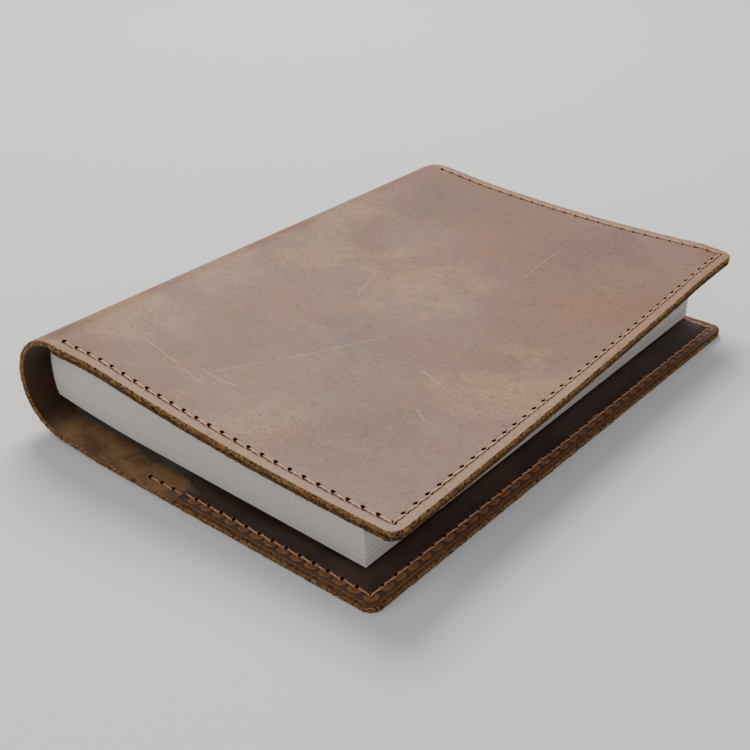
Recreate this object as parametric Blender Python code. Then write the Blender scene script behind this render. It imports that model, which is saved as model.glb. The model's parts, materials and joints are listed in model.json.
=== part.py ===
"""A leather wrap cover for an A5 notebook, lying closed on its back with the notebook inside.

One sheet of thick leather is the back panel, the spine and the front panel. Each panel carries a
pocket of thinner leather sewn round three sides, and the notebook's two cover cards slide into
them. The spine has no hinge of its own: its leather rolls, so it is built as a chain of strips
that share the roll equally. The upper pages turn over as the cover opens.

Metres, +Z up. +X runs from the spine to the fore-edge, +Y from tail to head along the spine. The
origin is the middle of the table side. Each panel and its pocket, threads and card are built in
the panel's own frame: local +X runs from the fold to the fore-edge and local +Z from the grain
side inwards, so the front is the back turned over.
"""

import math

import bmesh
import bpy
from mathutils import Matrix, Vector

# Leather
COVER_HEIGHT = 0.2205
PANEL_WIDTH = 0.1565
LEATHER = 0.0020
POCKET_LEATHER = 0.0011
EDGE_ROUND = 0.0004
CORNER_RADIUS = 0.0045
CORNER_STEPS = 8
GAP = 0.00025

# The spine's roll. The sheet is folded a little askew, so its edges lean away from the fold lines.
STRIPS = 3
STRIP_LENGTH = 0.01653
FRONT_SLOPE = math.radians(5.0)
ROLL = (math.pi + FRONT_SLOPE) / (STRIPS + 1)
ASKEW = math.radians(0.9)
FOLD_X = -0.0734

# Pockets and their seams
BACK_POCKET_WIDTH = 0.0865
FRONT_POCKET_WIDTH = 0.1480
SEAM_INSET = 0.0042
SEAM_MARGIN = 0.0050
POCKET_SLOPE = 0.0016
BACK_SEAM_LENGTH = 0.1080
FRONT_SEAM_LENGTH = 0.1470
THREAD_WIDTH = 0.0009
THREAD_HEIGHT = 0.0005
GROOVE_DEPTH = 0.0006
GROOVE_WIDTH = 0.0016

# Notebook
CARD = 0.0005
CARD_HEIGHT = 0.2066
CARD_BEND = 0.0060
CARD_INSET = 0.0135
BACK_CARD_START = 0.0058
FRONT_CARD_START = 0.0073
PAGE_WIDTH = 0.1475
PAGE_HEIGHT = 0.2068
SIGNATURES = 10
SIGNATURE_PITCH = 0.00204
SIGNATURE = 0.00180
BACK_ROUND = 0.0030
BLOCK_RISE = 0.0054
FORE_EDGE_X = 0.0689
PAGES_Y = 0.0020
LINING = 0.0005

HALF_HEIGHT = COVER_HEIGHT / 2
HALF_LEATHER = LEATHER / 2
POCKET_LIFT = CARD + GAP
POCKET_FLOOR = HALF_LEATHER + GAP
STACK_TOP = POCKET_FLOOR + POCKET_LIFT + POCKET_LEATHER
BLOCK_BASE = HALF_LEATHER + STACK_TOP + GAP
BLOCK_HEIGHT = SIGNATURES * SIGNATURE_PITCH
PAGE_AXIS_X = FORE_EDGE_X - PAGE_WIDTH - LINING - 2 * GAP
BLOCK_MIDDLE = BLOCK_BASE + (BLOCK_HEIGHT - (SIGNATURE_PITCH - SIGNATURE)) / 2
PAGE_AXIS_Z = BLOCK_MIDDLE + BLOCK_RISE


def clear_scene():
    for obj in list(bpy.data.objects):
        bpy.data.objects.remove(obj, do_unlink=True)


def material(name, colour, roughness):
    made = bpy.data.materials.new(name)
    made.use_nodes = True
    shader = made.node_tree.nodes["Principled BSDF"]
    shader.inputs["Base Color"].default_value = (*colour, 1.0)
    shader.inputs["Roughness"].default_value = roughness
    shader.inputs["Metallic"].default_value = 0.0
    made.diffuse_color = (*colour, 1.0)
    return made


def add_object(name, mesh_data, parent, surface):
    """Links a bmesh as an object that sits in its parent's frame, with its faces pointing out."""
    bmesh.ops.recalc_face_normals(mesh_data, faces=mesh_data.faces)
    mesh = bpy.data.meshes.new(name)
    mesh_data.to_mesh(mesh)
    mesh_data.free()
    mesh.materials.append(surface)
    obj = bpy.data.objects.new(name, mesh)
    bpy.context.collection.objects.link(obj)
    obj.parent = parent
    return obj


def add_empty(name, matrix):
    empty = bpy.data.objects.new(name, None)
    empty.empty_display_size = 0.01
    empty.matrix_world = matrix
    bpy.context.collection.objects.link(empty)
    return empty


def frame(origin, along, inner):
    """A frame whose +X is along and whose +Z is inner, both in the XZ plane."""
    across = inner.cross(along)
    columns = Matrix((along, across, inner)).transposed()
    return Matrix.Translation(origin) @ columns.to_4x4()


def heading(angle):
    """The direction at this angle from +X in the XZ plane, and the side its inner face looks to."""
    along = Vector((math.cos(angle), 0.0, math.sin(angle)))
    inner = Vector((math.sin(angle), 0.0, -math.cos(angle)))
    return along, inner


def fold_axes():
    """The fold lines' points, from the back panel round the spine to the front panel."""
    point = Vector((FOLD_X, 0.0, HALF_LEATHER))
    points = [point]
    for number in range(1, STRIPS + 1):
        along, _ = heading(math.pi - number * ROLL)
        point = point + along * STRIP_LENGTH
        points.append(point)
    return points


def rim(offset, start, z=0.0):
    """The panel's outline moved in by offset: from start along the tail, round and back at the head.

    start(y, z) is the local x at which the outline begins and ends at this height.
    """
    half = HALF_HEIGHT - offset
    right = PANEL_WIDTH - offset
    radius = CORNER_RADIUS - offset if offset < CORNER_RADIUS - 0.001 else 0.001
    points = [(start(-half, z), -half)]
    for side, first in ((-1, -math.pi / 2), (1, 0.0)):
        for step in range(CORNER_STEPS + 1):
            angle = first + step * math.pi / 2 / CORNER_STEPS
            x = right - radius + radius * math.cos(angle)
            y = side * (half - radius) + radius * math.sin(angle)
            points.append((x, y))
    points.append((start(half, z), half))
    return points


def sheet(outer_side, inner_side, start):
    """A sheet with the panel's outline. Each side lists (offset, z) from its edge inwards."""
    made = bmesh.new()
    sides = []
    for levels in (outer_side, inner_side):
        rows = []
        for offset, z in levels:
            rows.append([made.verts.new((x, y, z)) for x, y in rim(offset, start, z)])
        for row, following in zip(rows, rows[1:]):
            bridge(made, row, following)
        made.faces.new(rows[-1])
        sides.append(rows)
    outer, inner = sides
    bridge(made, outer[0], inner[0])
    cut = [row[0] for row in outer] + [row[-1] for row in reversed(outer)]
    cut += [row[-1] for row in inner] + [row[0] for row in reversed(inner)]
    made.faces.new(cut)
    return made


def bridge(made, row, following):
    for a, b, c, d in zip(row, row[1:], following[1:], following):
        made.faces.new((a, b, c, d))


def ribbon(levels, start, lift):
    """A flat thread that follows the seam. lift(x) is its underside's z at local x."""
    made = bmesh.new()
    rows = []
    for side, height in ((-1, 0.0), (1, 0.0), (1, THREAD_HEIGHT), (-1, THREAD_HEIGHT)):
        path = rim(SEAM_INSET + side * THREAD_WIDTH / 2, start)
        path = with_stops(path, levels)
        rows.append([made.verts.new((x, y, lift(x) + height)) for x, y in path])
    for row, following in zip(rows, rows[1:] + rows[:1]):
        bridge(made, row, following)
    made.faces.new([row[0] for row in rows])
    made.faces.new([row[-1] for row in rows])
    return made


def with_stops(path, stops):
    """Adds a point where each straight end of the path passes one of the stops."""
    tail = [(x, path[0][1]) for x in stops if x > path[0][0]]
    head = [(x, path[-1][1]) for x in reversed(stops) if x > path[-1][0]]
    return path[:1] + tail + path[1:-1] + head + path[-1:]


def extrude_section(section, y_low, y_high, lean=0.0):
    """A solid with this XZ section. Its two ends lean: y grows by lean for each unit of x."""
    made = bmesh.new()
    ends = []
    for y in (y_low, y_high):
        ends.append([made.verts.new((x, y + lean * x, z)) for x, z in section])
    count = len(section)
    for i in range(count):
        j = (i + 1) % count
        made.faces.new((ends[0][i], ends[0][j], ends[1][j], ends[1][i]))
    made.faces.new(ends[0])
    made.faces.new(ends[1])
    return made


def fold_side(y, z):
    """The panel's edge along the fold line, which leans in the panel's own frame.

    It is cut back inside, so that the closed roll leaves a clear joint.
    """
    cut_back = (z + HALF_LEATHER) * math.tan(ROLL / 2) / 2
    return (GAP / 2 + cut_back - y * math.sin(ASKEW)) / math.cos(ASKEW)


def build_panel(side, plane, leather):
    """The outer leather of one cover, with a shallow groove for the seam's outer thread."""
    low = -HALF_LEATHER
    groove = GROOVE_WIDTH / 2
    outer = [
        (0.0, low + EDGE_ROUND),
        (EDGE_ROUND, low),
        (SEAM_INSET - groove, low),
        (SEAM_INSET - groove, low + GROOVE_DEPTH),
        (SEAM_INSET + groove, low + GROOVE_DEPTH),
        (SEAM_INSET + groove, low),
    ]
    inner = [(0.0, HALF_LEATHER - EDGE_ROUND), (EDGE_ROUND, HALF_LEATHER)]
    add_object(side + "_cover_panel", sheet(outer, inner, fold_side), plane, leather)


def build_pocket(side, plane, leather, width):
    """The pocket lies on the panel round its seam and rises over the notebook's card."""
    mouth = PANEL_WIDTH - width
    low = POCKET_FLOOR
    high = low + POCKET_LEATHER
    slope_end = SEAM_MARGIN + POCKET_SLOPE
    outer = [(0.0, low), (SEAM_MARGIN, low), (slope_end, low + POCKET_LIFT)]
    inner = [
        (0.0, high - EDGE_ROUND),
        (EDGE_ROUND, high),
        (SEAM_MARGIN, high),
        (slope_end, high + POCKET_LIFT),
    ]
    add_object(side + "_pocket", sheet(outer, inner, lambda y, z: mouth), plane, leather)


def build_threads(side, plane, thread, seam, pocket):
    """Two threads lock in the leather: one lies in the outer groove, one on the pocket."""
    start = PANEL_WIDTH - seam
    mouth = PANEL_WIDTH - pocket
    in_groove = -HALF_LEATHER + (GROOVE_DEPTH - THREAD_HEIGHT) / 2
    name = side + "_seam_"
    made = ribbon([], lambda y, z: start, lambda x: in_groove)
    add_object(name + "outer_thread", made, plane, thread)

    def lift(x):
        on_pocket = x > mouth - GAP
        return POCKET_FLOOR + (POCKET_LEATHER + GAP if on_pocket else 0.0)

    step = (mouth - 2 * THREAD_HEIGHT, mouth - GAP / 2)
    made = ribbon(step if start < mouth else [], lambda y, z: start, lift)
    add_object(name + "inner_thread", made, plane, thread)


def build_card(side, plane, card, spine_x, mouth_x=None):
    """The notebook's cover card. Outside the pocket it lies against the pages."""
    low = POCKET_FLOOR
    high = STACK_TOP - CARD
    fore_x = PANEL_WIDTH - CARD_INSET
    if mouth_x is None:
        path = [(spine_x, low), (fore_x, low)]
    else:
        path = [(spine_x, high), (mouth_x - CARD_BEND, high), (mouth_x, low), (fore_x, low)]
    section = path + [(x, z + CARD) for x, z in reversed(path)]
    half = CARD_HEIGHT / 2
    add_object(f"notebook_{side}_card", extrude_section(section, -half, half), plane, card)


def build_cover(side, plane, looks, pocket, seam):
    build_panel(side, plane, looks["leather"])
    build_pocket(side, plane, looks["pocket"], pocket)
    build_threads(side, plane, looks["thread"], seam, pocket)


def build_strips(axes, looks):
    """The spine's strips. Each is narrower inside, like the panels' edges along the folds."""
    pinch = HALF_LEATHER * math.tan(ROLL / 2) + GAP / 2
    half = HALF_HEIGHT / math.cos(ASKEW)
    for number in range(1, STRIPS + 1):
        along, inner = heading(math.pi - number * ROLL)
        axis = add_empty(f"fold_axis_{number}", frame(axes[number - 1], along, inner))
        section = [
            (GAP / 2, -HALF_LEATHER),
            (STRIP_LENGTH - GAP / 2, -HALF_LEATHER),
            (STRIP_LENGTH - pinch, HALF_LEATHER),
            (pinch, HALF_LEATHER),
        ]
        # Local +Y is world -Y, and the sheet's middle drifts towards the head along the roll.
        drift = (STRIPS / 2 - (number - 1)) * STRIP_LENGTH * math.tan(ASKEW)
        lean = -math.tan(ASKEW)
        made = extrude_section(section, drift - half, drift + half, lean)
        add_object(f"spine_strip_{number}", made, axis, looks["leather"])


def spine_end(z):
    """How far the rounded back of the page block is set in, at this height before it is tilted."""
    share = abs(z - BLOCK_MIDDLE) / (BLOCK_HEIGHT / 2)
    return BACK_ROUND * (1 - math.sqrt(max(0.0, 1 - share * share)))


def tilted(section, from_page_axis):
    """The block's section raised towards the spine, where the cover's leather rolls up under it."""
    rise = BLOCK_RISE / PAGE_WIDTH
    section = [(x, z + rise * (FORE_EDGE_X - x)) for x, z in section]
    if from_page_axis:
        section = [(x - PAGE_AXIS_X, z - PAGE_AXIS_Z) for x, z in section]
    return section


def build_pages(looks, page_axis):
    """Folded signatures. Each has a round fold at the spine and a cut edge at the fore-edge."""
    spine_x = FORE_EDGE_X - PAGE_WIDTH
    low_y = PAGES_Y - PAGE_HEIGHT / 2
    high_y = PAGES_Y + PAGE_HEIGHT / 2
    for number in range(1, SIGNATURES + 1):
        upper = number > SIGNATURES // 2
        low = BLOCK_BASE + (number - 1) * SIGNATURE_PITCH
        middle = low + SIGNATURE / 2
        x = spine_x + spine_end(middle) + SIGNATURE / 2
        section = [(FORE_EDGE_X, low), (FORE_EDGE_X, low + SIGNATURE)]
        for step in range(7):
            angle = math.pi / 2 + step * math.pi / 6
            radius = SIGNATURE / 2
            section.append((x + radius * math.cos(angle), middle + radius * math.sin(angle)))
        parent = page_axis if upper else None
        made = extrude_section(tilted(section, upper), low_y, high_y)
        add_object(f"signature_{number:02d}", made, parent, looks["paper"])


def build_lining(looks, page_axis):
    """The glued strip round the block's back, parted where the notebook falls open."""
    steps = 8
    low_y = PAGES_Y - PAGE_HEIGHT / 2
    high_y = PAGES_Y + PAGE_HEIGHT / 2
    reach = BLOCK_HEIGHT / 2 - SIGNATURE
    for name, side, parent in (("lower", -1, None), ("upper", 1, page_axis)):
        outer = []
        inner = []
        for step in range(steps + 1):
            height = GAP + (reach - GAP) * step / steps
            z = BLOCK_MIDDLE + side * height
            x = PAGE_AXIS_X + GAP + spine_end(z - side * min(height, SIGNATURE / 2))
            outer.append((x, z))
            inner.append((x + LINING, z))
        section = tilted(outer + inner[::-1], parent is not None)
        made = extrude_section(section, low_y, high_y)
        add_object(f"notebook_{name}_spine_lining", made, parent, looks["card"])


def main():
    clear_scene()
    looks = {
        "leather": material("oiled_leather", (0.26, 0.17, 0.13), 0.55),
        "pocket": material("pocket_leather", (0.05, 0.03, 0.024), 0.5),
        "thread": material("waxed_thread", (0.55, 0.30, 0.16), 0.6),
        "card": material("grey_card", (0.20, 0.16, 0.13), 0.8),
        "paper": material("page_paper", (0.72, 0.70, 0.66), 0.9),
    }
    axes = fold_axes()
    askew = Matrix.Rotation(-ASKEW, 4, "Z")
    drift = STRIPS / 2 * STRIP_LENGTH * math.tan(ASKEW)

    back_frame = frame(axes[0], Vector((1, 0, 0)), Vector((0, 0, 1)))
    back = add_empty("back_plane", back_frame @ Matrix.Translation((0, -drift, 0)) @ askew)
    build_cover("back", back, looks, BACK_POCKET_WIDTH, BACK_SEAM_LENGTH)
    build_card("back", back, looks["card"], BACK_CARD_START, PANEL_WIDTH - BACK_POCKET_WIDTH)

    build_strips(axes, looks)

    front_frame = frame(axes[-1], *heading(-FRONT_SLOPE))
    front = add_empty("front_plane", front_frame @ Matrix.Translation((0, -drift, 0)) @ askew)
    build_cover("front", front, looks, FRONT_POCKET_WIDTH, FRONT_SEAM_LENGTH)
    build_card("front", front, looks["card"], FRONT_CARD_START)

    page_axis = add_empty("page_axis", Matrix.Translation((PAGE_AXIS_X, 0, PAGE_AXIS_Z)))
    build_pages(looks, page_axis)
    build_lining(looks, page_axis)


main()
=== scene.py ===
"""The looks of a stitched leather notebook cover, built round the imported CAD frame.

Lengths are millimetres until a mesh is made, and metres in the materials. The cover is one sheet, so
its leather is drawn flat and then folded: u runs from the fold line towards the fore-edge, t from tail
to head along the spine, and n from the grain side (-1) to the flesh side (+1) of the 2 mm leather.
"""

import json
import math

import bpy
import numpy as np
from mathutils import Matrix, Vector


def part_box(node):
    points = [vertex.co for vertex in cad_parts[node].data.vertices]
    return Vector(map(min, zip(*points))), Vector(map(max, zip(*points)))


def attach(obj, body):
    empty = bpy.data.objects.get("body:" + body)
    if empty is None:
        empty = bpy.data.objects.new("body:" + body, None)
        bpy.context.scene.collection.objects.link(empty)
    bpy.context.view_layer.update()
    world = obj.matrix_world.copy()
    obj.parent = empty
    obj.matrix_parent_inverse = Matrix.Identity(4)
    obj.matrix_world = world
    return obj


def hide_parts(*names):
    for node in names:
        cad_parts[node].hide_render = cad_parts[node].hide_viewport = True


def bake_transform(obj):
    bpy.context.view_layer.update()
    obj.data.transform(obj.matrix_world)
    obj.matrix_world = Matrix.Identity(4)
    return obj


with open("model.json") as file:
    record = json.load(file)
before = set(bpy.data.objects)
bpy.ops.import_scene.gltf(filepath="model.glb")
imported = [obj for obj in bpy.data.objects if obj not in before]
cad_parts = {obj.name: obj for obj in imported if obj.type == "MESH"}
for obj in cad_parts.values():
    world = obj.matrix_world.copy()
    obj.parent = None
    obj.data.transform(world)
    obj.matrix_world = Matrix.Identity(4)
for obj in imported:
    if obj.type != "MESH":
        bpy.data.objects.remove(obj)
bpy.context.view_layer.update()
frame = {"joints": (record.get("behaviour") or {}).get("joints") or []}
MM = 0.001

# The cover's plan, as the CAD has it
HALF_HEIGHT = 110.25
PANEL_WIDTH = 156.5
CORNER_RADIUS = 4.5
SEAM_INSET = 4.2
BACK_POCKET = 86.5
FRONT_POCKET = 148.0
ASKEW = math.radians(0.9)
HALF_LEATHER = 1.0
POCKET_LOW = 1.06
POCKET_THICK = 1.1
CARD_LIFT = 0.55
CARD = 0.5

# The spine's roll, from the fold joints
FOLDS = [j for j in frame["joints"] if j["name"].startswith("cover_fold")]
POINTS = np.array([[j["pos_m"][0], j["pos_m"][2]] for j in FOLDS]) / MM
STRIPS = len(FOLDS) - 1
STRIP = float(np.linalg.norm(POINTS[1] - POINTS[0]))
TURN = math.pi - math.atan2(POINTS[1][1] - POINTS[0][1], POINTS[1][0] - POINTS[0][0])
SLOPE = TURN * (STRIPS + 1) - math.pi
RADIUS = STRIP / 2 / math.tan(TURN / 2)
CENTRE_X = POINTS[0][0] + STRIP / 2
CENTRE_Z = POINTS[0][1] + RADIUS
MIDDLE = STRIPS * STRIP / 2

# How the leather leaves its flat planes: the front's bow, in powers of x and y from its tail corner
BOW_BASE = 0.25
BOW_X, BOW_XX = 0.0665, 0.00057
BOW_Y, BOW_YY = -0.006, 0.00018
BOW_XY = 0.000318
BOW_MOST = 6.0
BACK_LIFT = 1.35
SEAM_GROOVE = 0.16
SUNK_GROOVE = 0.50
EDGE_DROP = 0.10
POCKET_SWELL = 0.45

# Stitches
SEAM_U = PANEL_WIDTH - SEAM_INSET
SEAM_T = HALF_HEIGHT - SEAM_INSET
BAND = 2.3
CORNER_HALF = 10
BEVEL = 0.5
HOLE_SHIFT = 0.38
LEATHER_HOLE = (1.3, 0.78)
POCKET_HOLE = (1.05, 0.62)
HOLE_SLANT = math.radians(-32)
FRONT_PITCH = (5.70, 5.73)
BACK_PITCH = (5.87, 5.89)
FRONT_SEAM_START = 9.0
BACK_SEAM_START = PANEL_WIDTH - 108.0
STITCH_LEAN = 0.24
OUTER_THREAD = 0.30
INNER_THREAD = 0.25
ALONG = 12
ACROSS = 6

# Notebook
BLOCK_LOW, BLOCK_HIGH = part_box("signature_01")[0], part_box("signature_10")[1]
BLOCK_X = BLOCK_HIGH.x / MM
BLOCK_Y = (BLOCK_LOW.y / MM, BLOCK_HIGH.y / MM)
BLOCK_Z = BLOCK_LOW.z / MM
BLOCK_WIDTH = 147.5
BLOCK_RISE = 5.4
SIGNATURE_PITCH = 2.04
SIGNATURES = 10
BLOCK_HALF = SIGNATURE_PITCH * SIGNATURES / 2 - 0.12
BACK_ROUND = 1.8
LEAF_BUNDLES = 7
LEAF_STEPS = 14
SPINE_CURVE = 50.0
SPINE_CURL = 2.6

random = np.random.default_rng(7)


# ---------------------------------------------------------------- folding the flat sheet


def smooth(x, low, high):
    f = np.clip((x - low) / (high - low), 0, 1)
    return f * f * (3 - 2 * f)


def to_sheet(side, u, t):
    """A panel's own (u, t) as the whole sheet's (s, t), with s = 0 in the middle of the spine."""
    return side * (u + MIDDLE / math.cos(ASKEW)), t


def bow(s, t):
    """How far the front panel stands out from its plane: it sags in the middle and its head corner lifts."""
    x = s - MIDDLE / math.cos(ASKEW) - SEAM_U
    y = t + SEAM_T
    lift = BOW_BASE + (BOW_X + BOW_XX * x + BOW_XY * y) * x + (BOW_Y + BOW_YY * y) * y
    return np.minimum(lift, BOW_MOST) * smooth(x + SEAM_U, 9.0, 36.0)


def back_lift(p):
    """The back leather starts to rise from the table a little before the roll."""
    return BACK_LIFT * smooth(p, -30.0, -5.0) * (1 - smooth(p, -5.0, 16.0))


def fold(s, t, n):
    """World points, in millimetres, of the sheet's flat points (s, t) at height n through the leather."""
    s, t, n = np.broadcast_arrays(np.asarray(s, float), np.asarray(t, float), np.asarray(n, float))
    p = MIDDLE + s * math.cos(ASKEW) - t * math.sin(ASKEW)
    y = s * math.sin(ASKEW) + t * math.cos(ASKEW)
    n = n + back_lift(p) - np.where(s > 0, bow(s, t), 0.0)
    turned = np.clip((p + STRIP / 2) / STRIP, 0, STRIPS + 1) * TURN
    back = np.minimum(p + STRIP / 2, 0)
    front = np.maximum(p - (STRIPS + 0.5) * STRIP, 0)
    x = CENTRE_X - (RADIUS - n) * np.sin(turned) - back + front * math.cos(SLOPE)
    z = CENTRE_Z - (RADIUS - n) * np.cos(turned) - front * math.sin(SLOPE)
    return np.stack([x, y, z], -1)


def make(name, points, faces, looks, slots=None, fields=None):
    """A mesh object from world points in millimetres. fields are named values at the points."""
    mesh = bpy.data.meshes.new(name)
    mesh.from_pydata((np.asarray(points) * MM).tolist(), [], faces)
    for look in looks:
        mesh.materials.append(look)
    if slots is not None:
        mesh.polygons.foreach_set("material_index", np.asarray(slots, np.int32))
    mesh.polygons.foreach_set("use_smooth", np.ones(len(mesh.polygons), bool))
    for key, values in (fields or {}).items():
        values = np.asarray(values, np.float32)
        kind = "FLOAT_VECTOR" if values.ndim == 2 else "FLOAT"
        attribute = mesh.attributes.new(key, kind, "POINT")
        attribute.data.foreach_set("vector" if values.ndim == 2 else "value", values.ravel())
    mesh.update()
    obj = bpy.data.objects.new(name, mesh)
    bpy.context.scene.collection.objects.link(obj)
    return obj


# ---------------------------------------------------------------- the flat pattern of a sewn panel


class Pattern:
    """Flat points (u, t, depth) and faces. Points that fall together are one point."""

    def __init__(self):
        self.keys = {}
        self.points = []
        self.faces = []
        self.hole = []

    def point(self, u, t, depth=0.0):
        key = (round(u * 500), round(t * 500), round(depth * 500))
        if key not in self.keys:
            self.keys[key] = len(self.points)
            self.points.append((u, t, depth))
        return self.keys[key]

    def face(self, corners, hole=False):
        kept = [c for i, c in enumerate(corners) if c != corners[i - 1]]
        if len(kept) < 3:
            return
        xy = np.array([self.points[c][:2] for c in kept])
        turned = np.roll(xy, -1, 0)
        area = (xy[:, 0] * turned[:, 1] - xy[:, 1] * turned[:, 0]).sum()
        self.faces.append(tuple(kept) if area > 0 else tuple(kept[::-1]))
        self.hole.append(hole)

    def rows(self, grid):
        for row, following in zip(grid, grid[1:]):
            for a, b, c, d in zip(row, row[1:], following[1:], following):
                self.face((a, b, c, d))


def pierced(pattern, edge, centre, slant, size):
    """Fills the closed edge round one needle hole, from the edge in to the hole and down into it."""
    edge = np.array(edge)
    away = edge - centre
    reach = np.abs(away).max(0)
    angle = np.arctan2(away[:, 1] / reach[1], away[:, 0] / reach[0]) - slant
    oval = np.stack([size[0] * np.cos(angle), size[1] * np.sin(angle)], 1)
    c, s = math.cos(slant), math.sin(slant)
    oval = oval @ np.array([[c, s], [-s, c]]) + centre
    loops = [[pattern.point(*q) for q in edge]]
    for share in (0.3, 0.55, 0.75, 0.9, 1.0):
        loops.append([pattern.point(*q) for q in edge + (oval - edge) * share])
    for share, depth in ((0.88, 0.16), (0.72, 0.6)):
        loops.append([pattern.point(*q, depth) for q in centre + (oval - centre) * share])
    for number, (loop, following) in enumerate(zip(loops, loops[1:])):
        for i in range(len(loop)):
            j = (i + 1) % len(loop)
            pattern.face((loop[i], loop[j], following[j], following[i]), number >= 5)
    pattern.faces.append(tuple(loops[-1]))
    pattern.hole.append(True)


def seam_marks(start, pitch_near, pitch_fore):
    """Needle holes as (u, t) round the seam: up the tail edge, along the fore-edge, back at the head."""
    near = [SEAM_U - i * pitch_near for i in range(1, 60) if SEAM_U - i * pitch_near > start]
    count = round(2 * SEAM_T / pitch_fore)
    fore = [-SEAM_T + i * 2 * SEAM_T / count for i in range(count + 1)]
    marks = [(u, -SEAM_T) for u in reversed(near)] + [(SEAM_U, t) for t in fore]
    return marks + [(u, SEAM_T) for u in near]


def outline(inset, leg_points, corner_step, fore_points):
    """Points round the three cut edges, inset from them, matched to the seam band's outer edge."""
    radius = CORNER_RADIUS - inset
    u_edge, t_edge = PANEL_WIDTH - inset, HALF_HEIGHT - inset
    path = [(u, -t_edge) for u in leg_points]
    first, last = leg_points[-1], fore_points[0]
    straight_u = (PANEL_WIDTH - CORNER_RADIUS) - first
    straight_t = last + (HALF_HEIGHT - CORNER_RADIUS)
    arc = radius * math.pi / 2
    total = straight_u + arc + straight_t
    for i in range(1, corner_step):
        d = total * i / corner_step
        if d < straight_u:
            path.append((first + d, -t_edge))
        elif d < straight_u + arc:
            a = (d - straight_u) / radius
            u = PANEL_WIDTH - CORNER_RADIUS + radius * math.sin(a)
            path.append((u, -(HALF_HEIGHT - CORNER_RADIUS) - radius * math.cos(a)))
        else:
            path.append((u_edge, -(HALF_HEIGHT - CORNER_RADIUS) + d - straight_u - arc))
    path += [(u_edge, t) for t in fore_points]
    path += [(u, -t) for u, t in reversed(path[: len(leg_points) + corner_step - 1])]
    return path


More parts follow.
